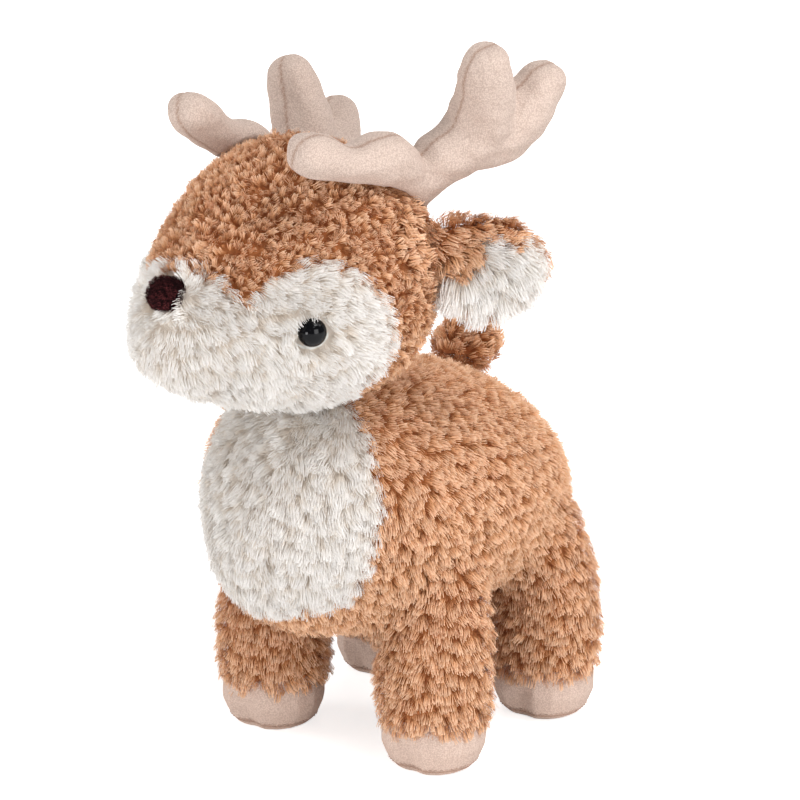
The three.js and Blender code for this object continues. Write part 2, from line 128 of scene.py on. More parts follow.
feet_middle = sum((box_middle(f"hoof_{leg}_sole") for leg in LEGS), Vector()) / len(LEGS)
feet_middle.z = 0
head_middle = feet_middle + HEAD_FROM_FEET
joint_at = {j["child"]: Vector(j["pos_m"]) for j in frame["joints"]}


# Materials

def new_material(name):
    material = bpy.data.materials.new(name)
    material.use_nodes = True
    tree = material.node_tree
    return material, tree, tree.nodes["Principled BSDF"]


def add(tree, kind, inputs=None, **settings):
    node = tree.nodes.new(kind)
    for key, value in settings.items():
        setattr(node, key, value)
    for key, value in (inputs or {}).items():
        if isinstance(value, bpy.types.NodeSocket):
            tree.links.new(value, node.inputs[key])
        else:
            node.inputs[key].default_value = value
    return node


def ramp(tree, value, stops):
    node = add(tree, "ShaderNodeValToRGB", {"Fac": value})
    elements = node.color_ramp.elements
    while len(elements) < len(stops):
        elements.new(0.5)
    for element, (place, tone) in zip(elements, stops):
        element.position = place
        element.color = tone
    return node.outputs["Color"]


def attribute(tree, name):
    return add(tree, "ShaderNodeAttribute", attribute_name=name).outputs["Fac"]


def on_piece(tree):
    """The place on the piece, in metres"""
    return add(tree, "ShaderNodeTexCoord").outputs["Object"]


def number_math(tree, operation, first, second):
    return add(tree, "ShaderNodeMath", {0: first, 1: second}, operation=operation).outputs[0]


def set_sockets(shader, values):
    for key, value in values.items():
        shader.inputs[key].default_value = value


# Where the painted shade towards a tuft's edge and under the tuft above begins and ends, and how dark it gets
EDGE_START, EDGE_END, EDGE_SHADE = 0.15, 0.85, 0.3


def plush_material(name, root, middle, tip, spread, translucence=0.0):
    """Pile that lightens from root to tip and towards the middle of each tuft: painted shade, darker deep in
    the pile, at the edges of the tufts and under the tuft above. Some light goes through its fibres where
    translucence is given."""
    material, tree, shader = new_material(name)
    reach, tone, tint, edge = (attribute(tree, word) for word in ("reach", "tone", "tint", "edge"))
    # Painted shade: darker towards a tuft's edge and under the tuft above
    shaded = add(tree, "ShaderNodeMapRange",
                 {"Value": edge, "From Min": EDGE_START, "From Max": EDGE_END, "To Min": 1.0,
                  "To Max": EDGE_SHADE}, interpolation_type="SMOOTHSTEP")
    shown = number_math(tree, "MULTIPLY", reach, shaded.outputs[0])
    # Painted shade: the dark root colour deep in the pile, lightening towards the tip
    along = ramp(tree, shown, [(0.1, root), (0.55, middle), (1.0, tip)])
    total = number_math(tree, "ADD", tint, tone)
    level = add(tree, "ShaderNodeMapRange", {"Value": total, "From Min": 0.0, "From Max": 2.0,
                                             "To Min": 1 - spread, "To Max": 1 + spread})
    scaled = add(tree, "ShaderNodeHueSaturation", {"Color": along, "Value": level.outputs[0]})
    tree.links.new(scaled.outputs["Color"], shader.inputs["Base Color"])
    set_sockets(shader, {"Roughness": 0.95, "Specular IOR Level": 0.1, "Sheen Weight": 0.3,
                         "Sheen Roughness": 0.5, "Sheen Tint": tip})
    if translucence:
        through = add(tree, "ShaderNodeBsdfTranslucent", {"Color": scaled.outputs["Color"]})
        mix = add(tree, "ShaderNodeMixShader", {0: translucence, 1: shader.outputs[0], 2: through.outputs[0]})
        tree.links.new(mix.outputs[0], tree.nodes["Material Output"].inputs["Surface"])
    return material


# How many bumps of the knit and patches of the nap lie on a metre, and how deep the knit is
KNIT_FINENESS, NAP_FINENESS, KNIT_DEPTH = 1500.0, 600.0, 0.0004


def suedette_material(name, tone, deep, seam_tone):
    """A fine knit: small bumps with darker gaps, and a soft nap over them, with painted shade in the groove
    of its seam
    """
    material, tree, shader = new_material(name)
    place = on_piece(tree)
    knit = add(tree, "ShaderNodeTexVoronoi", {"Vector": place, "Scale": KNIT_FINENESS, "Randomness": 0.8})
    nap = add(tree, "ShaderNodeTexNoise",
              {"Vector": place, "Scale": NAP_FINENESS, "Detail": 2.0, "Roughness": 0.6})
    soft = number_math(tree, "MULTIPLY", nap.outputs["Fac"], 0.5)
    gaps = number_math(tree, "ADD", knit.outputs["Distance"], soft)
    fine = ramp(tree, gaps, [(0.45, tone), (0.95, deep)])
    # Painted shade along the groove of the seam
    seam_shade = add(tree, "ShaderNodeMix", {0: attribute(tree, "seam"), 6: fine, 7: seam_tone},
               data_type="RGBA", blend_type="MULTIPLY")
    tree.links.new(seam_shade.outputs[2], shader.inputs["Base Color"])
    high = number_math(tree, "SUBTRACT", 1.0, gaps)
    bump = add(tree, "ShaderNodeBump", {"Height": high, "Strength": 0.5, "Distance": KNIT_DEPTH})
    tree.links.new(bump.outputs["Normal"], shader.inputs["Normal"])
    set_sockets(shader, {"Roughness": 0.92, "Specular IOR Level": 0.15, "Sheen Weight": 0.3,
                         "Sheen Roughness": 0.4, "Sheen Tint": tone})
    return material


def thread_material():
    material, tree, shader = new_material("thread")
    twist = add(tree, "ShaderNodeTexNoise", {"Vector": on_piece(tree), "Scale": 2500.0, "Detail": 1.0})
    tone = ramp(tree, twist.outputs["Fac"], [(0.3, colour("ab8f80")), (0.7, colour("cdb3a4"))])
    tree.links.new(tone, shader.inputs["Base Color"])
    set_sockets(shader, {"Roughness": 0.8})
    return material


def eye_material():
    material, _, shader = new_material("eye plastic")
    set_sockets(shader, {"Base Color": colour("060609"), "Roughness": 0.08, "Specular IOR Level": 0.18})
    return material


def filling_material():
    material, tree, shader = new_material("fibre filling")
    fibre = add(tree, "ShaderNodeTexNoise",
                {"Vector": on_piece(tree), "Scale": 260.0, "Detail": 6.0, "Roughness": 0.7})
    tone = ramp(tree, fibre.outputs["Fac"], [(0.3, colour("dcdad4")), (0.7, colour("f6f5f2"))])
    tree.links.new(tone, shader.inputs["Base Color"])
    set_sockets(shader, {"Roughness": 1.0})
    return material


def washer_material():
    material, tree, shader = new_material("washer plastic")
    grain = add(tree, "ShaderNodeTexNoise", {"Vector": on_piece(tree), "Scale": 900.0, "Detail": 2.0})
    bump = add(tree, "ShaderNodeBump", {"Height": grain.outputs["Fac"], "Strength": 0.1, "Distance": 0.0002})
    tree.links.new(bump.outputs["Normal"], shader.inputs["Normal"])
    set_sockets(shader, {"Base Color": colour("e8e8e4"), "Roughness": 0.45})
    return material


# The dark root colours of the plush are painted shade deep in the pile
tan_plush = plush_material("tan plush", colour("a2541c"), colour("e0a678"), colour("f0c8a7"), 0.1)
white_plush = plush_material("white plush", colour("f2e6d8"), colour("f9f5f0"), colour("fcfaf8"), 0.03, 0.3)
# The velour's light tips are partly a painted highlight on the nose's rim
velour = plush_material("nose velour", colour("16090b"), colour("2c1114"), colour("6e3537"), 0.35)
# The third colour of each suedette is the painted shade in its seam's groove
suedette = suedette_material("antler suedette", colour("dcc9bd"), colour("c0aa9e"), colour("d8c9c0"))
hoof_suedette = suedette_material("hoof suedette", colour("e2cbbd"), colour("c9afa1"), colour("cdbab0"))
thread = thread_material()
eye_black = eye_material()
filling = filling_material()
washer_plastic = washer_material()


# Skins: the sewn and stuffed forms under the pile, made from the frame's solids

def joined_solids(names):
    points, faces, start = [], [], 0
    for name in names:
        mesh = nodes[name].data
        here = points_of(mesh)
        points.append(here)
        faces += [[start + i for i in p.vertices] for p in mesh.polygons]
        start += len(here)
    mesh = mesh_from("solids", np.concatenate(points), faces)
    return bpy.data.objects.new("solids", mesh)


def stuffed_skin(names, voxel, smoothing):
    obj = joined_solids(names)
    bpy.context.scene.collection.objects.link(obj)
    remesh = obj.modifiers.new("remesh", "REMESH")
    remesh.mode = "VOXEL"
    remesh.voxel_size = voxel
    smooth = obj.modifiers.new("smooth", "SMOOTH")
    smooth.factor = 0.5
    smooth.iterations = smoothing
    return plain_mesh(obj)


def nearest_node(points, names):
    trees = []
    for name in names:
        mesh = nodes[name].data
        trees.append(BVHTree.FromPolygons([v.co for v in mesh.vertices], [p.vertices for p in mesh.polygons]))
    found = np.empty(len(points), int)
    for i, point in enumerate(points):
        reach = [tree.find_nearest(Vector(point))[3] for tree in trees]
        found[i] = int(np.argmin(reach))
    return found


def patches(mesh, names, inset, thickness=1.2 * MM, lowest=-1.0, claim=None):
    """The skin of each named cover: a thin closed shell under the pile. Faces that lie under
    the lowest height are left out, and claim may give a face to another cover, or to none."""
    points, normals = points_of(mesh), normals_of(mesh)
    polygons = [p for p in mesh.polygons if p.center.z > lowest]
    faces = [tuple(p.vertices) for p in polygons]
    owner = nearest_node([p.center for p in polygons], names)
    if claim is not None:
        for i, polygon in enumerate(polygons):
            owner[i] = claim(polygon.center, owner[i])
    result = {}
    for k, name in enumerate(names):
        mine = [f for f, o in zip(faces, owner) if o == k]
        used = sorted({v for f in mine for v in f})
        index = {v: i for i, v in enumerate(used)}
        count = len(used)
        outer = points[used] - normals[used] * inset
        inner = outer - normals[used] * thickness
        tops = [[index[v] for v in f] for f in mine]
        edges = {}
        for f in tops:
            for a, b in zip(f, f[1:] + f[:1]):
                edges[(a, b)] = True
        rims = [(a, a + count, b + count, b) for a, b in edges if (b, a) not in edges]
        shell = tops + [[v + count for v in reversed(f)] for f in tops] + rims
        result[name] = {
            "points": np.concatenate([outer, inner]),
            "faces": shell,
            "normals": np.concatenate([normals[used]] * 2),
            "outer": count,
        }
    return result


# Pile: small groups of fine fibres. On a skin, neighbouring groups lean together into tufts.

GOLDEN_ANGLE = 2.39996
# Places along a fibre after its root: the share of its length and of its width
FIBRE_PLACES = ((0.6, 0.8), (1.0, 1.0))
FIBRE_POINTS = 1 + 2 * len(FIBRE_PLACES)
# How far a fibre strays aside, as a share of its group's spread; how far it faces aside, in radians;
# its least and most width, as shares; and how much of a half turn its bow follows
STRAY, FACING, WIDTHS, BOW_TURN = 0.3, 0.45, (0.7, 1.2), 0.85
KINDS = 6


def fibre_mesh(seed, length, spread, width, bow, unevenness, fibres):
    """A small group of fibres that stand on their roots and bow to one side"""
    rng = random.Random(seed)
    points, faces, reach, tone = [], [], [], []
    for k in range(fibres):
        out = spread * math.sqrt((k + 0.5) / fibres)
        angle = k * GOLDEN_ANGLE + rng.uniform(-0.5, 0.5)
        root = Vector((math.cos(angle), math.sin(angle), 0)) * out
        stray = Vector((rng.uniform(-1, 1), rng.uniform(-1, 1), 0)) * spread * STRAY
        facing = rng.uniform(-FACING, FACING)
        side = Vector((-math.sin(facing), math.cos(facing), 0)) * width * rng.uniform(*WIDTHS) / 2
        own = length * (1 - unevenness * rng.random())
        shade = rng.random()
        points.append(root)
        reach.append(0.0)
        for t, half in FIBRE_PLACES:
            centre = root + stray * t * t + Vector((bow * math.sin(t * math.pi * BOW_TURN), 0, own * t))
            points += [centre - side * half, centre + side * half]
            reach += [t, t]
        tone += [shade] * FIBRE_POINTS
        b = len(points) - FIBRE_POINTS
        faces += [(b, b + 2, b + 1), (b + 1, b + 2, b + 4, b + 3)]
    mesh = mesh_from("fibres", points, faces)
    store(mesh, "reach", reach)
    store(mesh, "tone", tone)
    return mesh


def fibre_kinds(name, **shape):
    kinds = bpy.data.collections.new(name)
    for k in range(KINDS):
        kinds.objects.link(bpy.data.objects.new(f"{name} {k}", fibre_mesh(k, **shape)))
    return kinds


short_pile = fibre_kinds("short pile", length=7.0 * MM, spread=1.5 * MM, width=0.32 * MM, bow=1.9 * MM,
                         unevenness=0.12, fibres=8)
curly_pile = fibre_kinds("curly pile", length=5.8 * MM, spread=1.1 * MM, width=0.3 * MM, bow=2.3 * MM,
                         unevenness=0.15, fibres=8)
white_pile = fibre_kinds("white pile", length=7.8 * MM, spread=1.7 * MM, width=0.27 * MM, bow=1.9 * MM,
                         unevenness=0.15, fibres=11)
velvet_pile = fibre_kinds("velvet pile", length=1.7 * MM, spread=0.7 * MM, width=0.22 * MM, bow=0.2 * MM,
                          unevenness=0.3, fibres=8)


# Tufts are lower than wide. The sizes below hold where a cover gives none of its own.
TUFT_SHAPE = (1.0, 1.0, 1.25)
TUFT = {"spacing": 1.3 * MM, "tuft_width": 5.2 * MM, "tuft_reach": 7 * MM, "gathering": 0.4, "disorder": 0.07,
        "twist": 0.4, "overlap": 0.9, "relief": 0.6, "unruliness": 3 * MM}


def vector_of(tree, value):
    return add(tree, "ShaderNodeCombineXYZ", {0: value, 1: value, 2: value}).outputs[0]


def vector_math(tree, operation, first, second):
    return add(tree, "ShaderNodeVectorMath", {0: first, 1: second}, operation=operation).outputs[0]


# The most groups on a square metre, the size of a group in the middle of a tuft, and how far the
# shortening towards its edge reaches
MOST_GROUPS, FULL_SIZE, SHORT_AT = 3000000.0, 1.08, 0.9
LEAN_SEED, SIZE_SEED, KIND_SEED = 11, 3, 7


def new_tree(name, inputs, output):
    """An empty Geometry Nodes tree with its named inputs, and the sockets that give them"""
    tree = bpy.data.node_groups.new(name, "GeometryNodeTree")
    for label, kind in inputs:
        tree.interface.new_socket(label, in_out="INPUT", socket_type="NodeSocket" + kind)
    tree.interface.new_socket(output, in_out="OUTPUT", socket_type="NodeSocketGeometry")
    return tree, add(tree, "NodeGroupInput").outputs


def identifiers(tree):
    return {item.name: item.identifier for item in tree.interface.items_tree if item.in_out == "INPUT"}


def fur_tree():
    sizes = [(label, "Float") for label in ("Spacing", "Tuft width", "Tuft reach", "Gathering", "Disorder",
                                            "Twist", "Overlap", "Relief", "Unruliness")]
    tree, given = new_tree("pile on a skin", [("Skin", "Geometry"), ("Fibres", "Collection")] + sizes
                           + [("Seed", "Int"), ("Finish", "Material")], "Pile")
    cover = add(tree, "GeometryNodeInputNamedAttribute", {"Name": "cover"}, data_type="FLOAT")
    spots = add(tree, "GeometryNodeDistributePointsOnFaces",
                {"Mesh": given["Skin"], "Distance Min": given["Spacing"], "Density Max": MOST_GROUPS,
                 "Density Factor": cover.outputs["Attribute"], "Seed": given["Seed"]},
                distribute_method="POISSON")

    # The middle of the tuft that a group belongs to, seen along the skin
    here = add(tree, "GeometryNodeInputPosition").outputs[0]
    fineness = number_math(tree, "DIVIDE", 1.0, given["Tuft width"])
    stretched = vector_math(tree, "MULTIPLY", here, TUFT_SHAPE)
    cell = add(tree, "ShaderNodeTexVoronoi", {"Vector": stretched, "Scale": fineness, "Randomness": 0.9})
    centre = vector_math(tree, "DIVIDE", cell.outputs["Position"], TUFT_SHAPE)
    aside = vector_math(tree, "SUBTRACT", centre, here)
    sunk = vector_math(tree, "PROJECT", aside, spots.outputs["Normal"])
    aside = vector_math(tree, "SUBTRACT", aside, sunk)
    pull = vector_math(tree, "MULTIPLY", aside, vector_of(tree, given["Gathering"]))

    # The way that a group stands: the comb, the pull to its tuft and a little disorder
    comb = add(tree, "GeometryNodeInputNamedAttribute", {"Name": "comb"}, data_type="FLOAT_VECTOR")
    along = vector_math(tree, "MULTIPLY", comb.outputs["Attribute"], vector_of(tree, given["Tuft reach"]))
    chance = vector_math(tree, "SUBTRACT", cell.outputs["Color"], (0.5, 0.5, 0.5))
    stray = vector_math(tree, "MULTIPLY", chance, vector_of(tree, given["Unruliness"]))
    way = vector_math(tree, "ADD", vector_math(tree, "ADD", along, pull), stray)
    laid = add(tree, "FunctionNodeAlignRotationToVector", {"Vector": way}, axis="Z")
    facing = add(tree, "FunctionNodeAlignRotationToVector",
                 {"Rotation": laid.outputs[0], "Vector": spots.outputs["Normal"]}, axis="X", pivot_axis="Z")
    most = add(tree, "ShaderNodeCombineXYZ",
               {0: given["Disorder"], 1: given["Disorder"], 2: given["Twist"]}).outputs[0]
    least = vector_math(tree, "MULTIPLY", most, (-1, -1, -1))
    lean = add(tree, "FunctionNodeRandomValue",
               {0: least, 1: most, "Seed": LEAN_SEED}, data_type="FLOAT_VECTOR")
    lean_turn = add(tree, "FunctionNodeEulerToRotation", {0: lean.outputs[0]})
    turned = add(tree, "FunctionNodeRotateRotation",
                 {"Rotation": facing.outputs[0], "Rotate By": lean_turn.outputs[0]}, rotation_space="LOCAL")

    # Long in the middle and at the lower end of a tuft, short where it lies under the one above
    far = add(tree, "ShaderNodeVectorMath", {0: aside}, operation="LENGTH")
    outward = number_math(tree, "DIVIDE", far.outputs["Value"], given["Tuft width"])
    rise = add(tree, "ShaderNodeVectorMath",
               {0: aside, 1: comb.outputs["Attribute"]}, operation="DOT_PRODUCT")
    upward = number_math(tree, "DIVIDE", rise.outputs["Value"], given["Tuft width"])
    edge = number_math(tree, "ADD", outward, number_math(tree, "MULTIPLY", upward, given["Overlap"]))
    low = number_math(tree, "SUBTRACT", FULL_SIZE, given["Relief"])
    size = add(tree, "ShaderNodeMapRange",
               {"Value": edge, "From Min": 0.0, "From Max": SHORT_AT, "To Min": FULL_SIZE, "To Max": low})
    grown = add(tree, "GeometryNodeInputNamedAttribute", {"Name": "grown"}, data_type="FLOAT")
    uneven = add(tree, "FunctionNodeRandomValue", {2: 0.9, 3: 1.08, "Seed": SIZE_SEED}, data_type="FLOAT")
    own_size = number_math(tree, "MULTIPLY", size.outputs[0], uneven.outputs[1])
    scale = number_math(tree, "MULTIPLY", own_size, grown.outputs["Attribute"])
    pick = add(tree, "FunctionNodeRandomValue", {4: 0, 5: KINDS - 1, "Seed": KIND_SEED}, data_type="INT")
    kinds = add(tree, "GeometryNodeCollectionInfo",
                {"Collection": given["Fibres"], "Separate Children": True, "Reset Children": True})
    placed = add(tree, "GeometryNodeInstanceOnPoints",
                 {"Points": spots.outputs["Points"], "Instance": kinds.outputs[0], "Pick Instance": True,
                  "Instance Index": pick.outputs[2], "Rotation": turned.outputs[0], "Scale": scale})

    # Each group keeps the tone of its tuft, and how near it stands to the tuft's edge and under the tuft
    # above, where the pile's material paints shade
    own = add(tree, "ShaderNodeSeparateXYZ", {0: cell.outputs["Color"]})
    marked = placed
    for label, value in (("tint", own.outputs[0]), ("edge", edge)):
        marked = add(tree, "GeometryNodeStoreNamedAttribute",
                     {"Geometry": marked.outputs[0], "Name": label, "Value": value},
                     data_type="FLOAT", domain="INSTANCE")
    solid = add(tree, "GeometryNodeRealizeInstances", {"Geometry": marked.outputs[0]})
    both = add(tree, "GeometryNodeJoinGeometry")
    tree.links.new(given["Skin"], both.inputs[0])
    tree.links.new(solid.outputs[0], both.inputs[0])
    done = add(tree, "GeometryNodeSetMaterial", {"Geometry": both.outputs[0], "Material": given["Finish"]})
    add(tree, "NodeGroupOutput", {0: done.outputs[0]})
    return tree


pile_on_skin = fur_tree()
pile_inputs = identifiers(pile_on_skin)


# How much of the pile's colour the bare skin shows, from 0 at the root to 1 at the tip: near the dark root
# colour, painted shade between the tufts
SKIN_SHADE = 0.24
# Small lumps of a stuffed skin: how tightly they follow each other, their height and their seed
SKIN_LUMPS = {"scale": 450, "amount": 0.9 * MM, "seed": 9}
FIBRE_LUMPS = {"scale": 300, "amount": 0.8 * MM, "seed": 8}
ANTLER_PUCKERS = {"scale": 380, "amount": 0.45 * MM, "seed": 10}


def furred(name, patch, comb, fibres, material, lift, bare=(), grown=1.0, **shape):
    """A cover of pile on its skin. comb gives the way the pile lies, lift how far it stands up
    from the skin, grown how long it is, bare the places without pile, and shape its tufts."""
    points, normals = patch["points"], patch["normals"]
    way = comb(points, normals)
    way = unit(way - normals * np.sum(way * normals, axis=1, keepdims=True))
    stand = np.broadcast_to(np.asarray(lift, float), (len(points),))[:, None]
    way = unit(way * np.cos(stand) + normals * np.sin(stand))
    lumps = wander(points, **SKIN_LUMPS)[:, :1]
    cover = np.ones(len(points))
    cover[patch["outer"]:] = 0
    for centre, radius in bare:
        cover[np.linalg.norm(points - np.array(centre), axis=1) < radius] = 0
    mesh = mesh_from(name, points + normals * lumps, patch["faces"])
    store(mesh, "comb", way.ravel(), "FLOAT_VECTOR")
    store(mesh, "cover", cover)
    store(mesh, "reach", np.full(len(points), SKIN_SHADE))
    store(mesh, "grown", np.array(np.broadcast_to(np.asarray(grown, float), (len(points),))))
    obj = show(name + " skin", mesh, material)
    modifier = obj.modifiers.new("pile", "NODES")
    modifier.node_group = pile_on_skin
    modifier[pile_inputs["Fibres"]] = fibres
    modifier[pile_inputs["Finish"]] = material
    # A fixed seed, which follows from the piece's name
    modifier[pile_inputs["Seed"]] = len(name)
    for key, value in {**TUFT, **shape}.items():
        modifier[pile_inputs[key.replace("_", " ").capitalize()]] = value
    return show(name, plain_mesh(obj), material)


# The way that the pile lies, from its root to its tip

WAVES = 6
# How tightly the strays of a plain lie follow each other
PLAIN_SCALE = 120


def wander(points, scale, amount, seed):
    """A smooth stray in three directions, made of a few waves"""
    rng = np.random.default_rng(seed)
    waves = rng.normal(size=(WAVES, 3)) * scale
    phases = rng.uniform(0, 2 * math.pi, (WAVES, 3))
    total = np.zeros_like(points)
    for wave, phase in zip(waves, phases):
        total += np.sin((points @ wave)[:, None] + phase)
    return total * amount / (WAVES / 2)


def combed(way, amount, seed):
    """Pile brushed one way all over"""
    def lie(points, normals):
        return np.tile(way, (len(points), 1)) + wander(points, PLAIN_SCALE, amount, seed)
    return lie


def away_from(place, pull, scale=PLAIN_SCALE, amount=0.25, seed=6):
    """Pile that lies away from a place and is pulled down by its weight"""
    def lie(points, normals):
        return unit(points - np.array(place)) + np.array(pull, float) + wander(points, scale, amount, seed)
    return lie


# The places before the head that its pile and its face's pile lie away from
HEAD_CROWN, FACE_CROWN = Vector((0, -70, -10)) * MM, Vector((0, -85, 8)) * MM

trunk_lie = combed([0.0, 0.55, -0.85], amount=0.3, seed=1)
leg_lie = combed([0.0, 0.05, -1.0], amount=0.25, seed=2)
chest_lie = combed([0.0, 0.1, -1.0], amount=0.3, seed=3)
head_lie = away_from(head_middle + HEAD_CROWN, (0, 0, -0.5), scale=200, amount=0.8, seed=4)
face_lie = away_from(head_middle + FACE_CROWN, (0, 0, -0.35), amount=0.45, seed=5)


def stand_in_for(piece, body, names):
    """Lets a piece take the place of nodes of the frame"""
    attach(piece, body)
    for name in names:
        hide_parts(name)


def stuffing(name, body, voxel, inset=2.4 * MM):
    """Loose fibre filling, lumpy and drawn in a little from the cover round it"""
    mesh = stuffed_skin([name], voxel, smoothing=6)
    points, normals = points_of(mesh), normals_of(mesh)
    lumps = wander(points, **FIBRE_LUMPS)[:, :1]
    mesh.vertices.foreach_set("co", (points + normals * (lumps - inset)).ravel())
    mesh.update()
    stand_in_for(show(name + ".fibre", mesh, filling), body, [name])


# How far the skin lies under the pile's outside, and where the sleeves end over the hooves
PILE_DEPTH, SLEEVE_END = 4.5 * MM, 19 * MM
# The lower end of the white chest: its height, how far aside its lowest place is, and how wide
# its curve opens, in mm; and the share by which the chest's right side is drawn in
CHEST_END, CHEST_ASIDE, CHEST_CURVE, CHEST_DRAWN = 77, 8, 14, 0.06


def trunk_and_legs():
    covers = ["trunk_cover", "chest_panel"] + [f"leg_{leg}_cover" for leg in LEGS]
    inner = ["trunk_filling"] + [f"leg_{leg}_filling" for leg in LEGS]
    skin = stuffed_skin(covers + inner, voxel=3 * MM, smoothing=14)

    def chest_end(place, owner):
        aside = (place - feet_middle).x / MM
        end = (CHEST_END + ((aside + CHEST_ASIDE) / CHEST_CURVE) ** 2) * MM
        return 0 if owner == 1 and place.z < end else owner

    skins = patches(skin, covers, PILE_DEPTH, lowest=SLEEVE_END, claim=chest_end)
    for name in covers:
        if name == "chest_panel":
            across = skins[name]["points"][:, 0]
            across -= np.minimum(across - feet_middle.x, 0) * CHEST_DRAWN
            piece = furred(name + ".pile", skins[name], chest_lie, white_pile, white_plush, lift=0.8,
                           tuft_width=5 * MM, gathering=0.3, twist=0.3, disorder=0.1, overlap=0.6, relief=0.2,
                           unruliness=3.5 * MM)
            stand_in_for(piece, "body", [name])
        else:
            lie = trunk_lie if name == "trunk_cover" else leg_lie
            piece = furred(name + ".pile", skins[name], lie, short_pile, tan_plush, lift=0.8)
            stand_in_for(piece, "body", [name])


def raised_near(points, places, radius, low, high):
    """The pile's lift or length, low in general and high close to the given places"""
    reach = np.min([np.linalg.norm(points - np.array(place), axis=1) for place in places], axis=0)
    return low + (high - low) * np.exp(-(reach / radius) ** 4)


# Where the tan brow begins on the right cheek, and how much its lower edge falls outwards
BROW_FROM_HEAD, BROW_FALL = Vector((-14, 0, 10)) * MM, 0.25
# The pile is left out round the nose and the eyes: how far each place is shifted, and its radius
BARE_SHIFTS, BARE_RADII = (2.2, -1.0, -1.0), (10.0, 8.2, 8.2)


def head():
    covers = ["head_cover", "face_panel"]
    inner = ["head_filling", "eye_left", "eye_right", "nose"]
    skin = stuffed_skin(covers + inner, voxel=3 * MM, smoothing=12)
    brow = head_middle + BROW_FROM_HEAD

    def tan_brow(place, owner):
        return 0 if place.x < brow.x and place.z > brow.z + BROW_FALL * (place.x - brow.x) else owner

    skins = patches(skin, covers, PILE_DEPTH, claim=tan_brow)
    fur = skins["head_cover"]
    ears = [joint_at["left_ear"], joint_at["right_ear"]]
    antlers = [joint_at["left_antler"], joint_at["right_antler"]]
    near_ears = raised_near(fur["points"], ears, radius=19 * MM, low=0, high=0.8)
    near_antlers = raised_near(fur["points"], antlers, radius=15 * MM, low=0, high=0.7)
    piece = furred("head_cover.pile", fur, head_lie, curly_pile, tan_plush, lift=1.0,
                   grown=1 + np.maximum(near_ears, near_antlers), spacing=1.1 * MM, tuft_width=3.4 * MM,
                   tuft_reach=6 * MM, gathering=0.6, disorder=0.25, twist=1.5, overlap=0.7, relief=0.7,
                   unruliness=6 * MM)
    stand_in_for(piece, "body", ["head_cover"])
    hidden_parts = [box_middle("nose")] + [box_middle(f"eye_{side}") for side in SIDES]
    bare = [(place + Vector((-shift, 0, shift)) * MM, radius * MM)
            for place, shift, radius in zip(hidden_parts, BARE_SHIFTS, BARE_RADII)]
    face = skins["face_panel"]
    lift = raised_near(face["points"], hidden_parts, radius=13 * MM, low=0.75, high=1.3)
    piece = furred("face_panel.pile", face, face_lie, white_pile, white_plush, lift, bare,
                   tuft_width=5 * MM, twist=0.3, disorder=0.1, overlap=0.6, relief=0.3, unruliness=4 * MM)
    stand_in_for(piece, "body", ["face_panel"])


# The nose's width, length and height as shares of its solid's
NOSE_SHARES = (0.9, 1.0, 1.08)


def nose():
    skin = stuffed_skin(["nose"], voxel=0.8 * MM, smoothing=10)
    skins = patches(skin, ["nose"], inset=0.8 * MM, thickness=0.8 * MM)
    middle = np.array(box_middle("nose"))
    skins["nose"]["points"] = middle + (skins["nose"]["points"] - middle) * NOSE_SHARES
    piece = furred("nose.pile", skins["nose"], away_from(head_middle, (0, 0, -0.5)), velvet_pile, velour,
                   lift=0.7, spacing=0.6 * MM, tuft_width=1.6 * MM, tuft_reach=2 * MM, disorder=0.3,
                   relief=0.2, unruliness=0.5 * MM)
    stand_in_for(piece, "body", ["nose"])


def turned_mesh(name, foot, axis, profile, sides):
    """A closed body turned about an axis, from its places of radius and height"""
    across = axis.orthogonal().normalized()
    along = axis.cross(across)
    points = []
    for radius, height in profile:
        for k in range(sides):
            angle = 2 * math.pi * k / sides
            out = across * math.cos(angle) + along * math.sin(angle)
            points.append(foot + axis * height + out * radius)
    faces = []
    for row in range(len(profile) - 1):
        for k in range(sides):
            a, b = row * sides + k, row * sides + (k + 1) % sides
            faces.append((a, b, b + sides, a + sides))
    faces.append(tuple(reversed(range(sides))))
    faces.append(tuple(range(len(points) - sides, len(points))))
    return mesh_from(name, points, faces)


EYE_SIDES, DOME_STEPS = 48, 12
# How far under the dome's rim its shank begins, and the places of its underside: the share of its
# radius, and the depth under its rim
SHANK_DEPTH, UNDERSIDE = 1.6 * MM, ((0.8, 1.4 * MM), (0.97, 0.6 * MM))


def eye(side):
    """A smooth dome on its shank, on the line from the washer to the eye of the frame"""
    points = points_of(nodes[f"eye_{side}"].data)
    middle = Vector(points.mean(axis=0))
    axis = (middle - Vector(points_of(nodes[f"eye_washer_{side}"].data).mean(axis=0))).normalized()
    heights = (points - np.array(middle)) @ np.array(axis)
    aside = np.linalg.norm(points - np.array(middle) - heights[:, None] * np.array(axis), axis=1)
    radius, top, foot = aside.max(), heights.max(), heights.min()
    rim = heights[aside > radius * 0.98].max()
    shank = aside[heights < foot + 0.1 * MM].max()
    profile = [(shank, foot), (shank, rim - SHANK_DEPTH)]
    profile += [(radius * share, rim - depth) for share, depth in UNDERSIDE]
    for step in range(DOME_STEPS + 1):
        angle = math.pi / 2 * step / (DOME_STEPS + 0.5)
        profile.append((radius * math.cos(angle), rim + (top - rim) * math.sin(angle)))
    piece = show(f"eye_{side}.dome", turned_mesh("dome", middle, axis, profile, EYE_SIDES), eye_black)
    stand_in_for(piece, "body", [f"eye_{side}"])


def washer(side):
    """The washer keeps its shape of the frame and gets its material"""
    mesh = nodes[f"eye_washer_{side}"].data
    mesh.materials.clear()
    mesh.materials.append(washer_plastic)


# Places along a stitch, in mm: how far along, how high over the cloth, and half its thickness
STITCH_PLACES = ((-0.75, 0.0, 0.1), (-0.35, 0.22, 0.22), (0.35, 0.22, 0.22), (0.75, 0.0, 0.1))


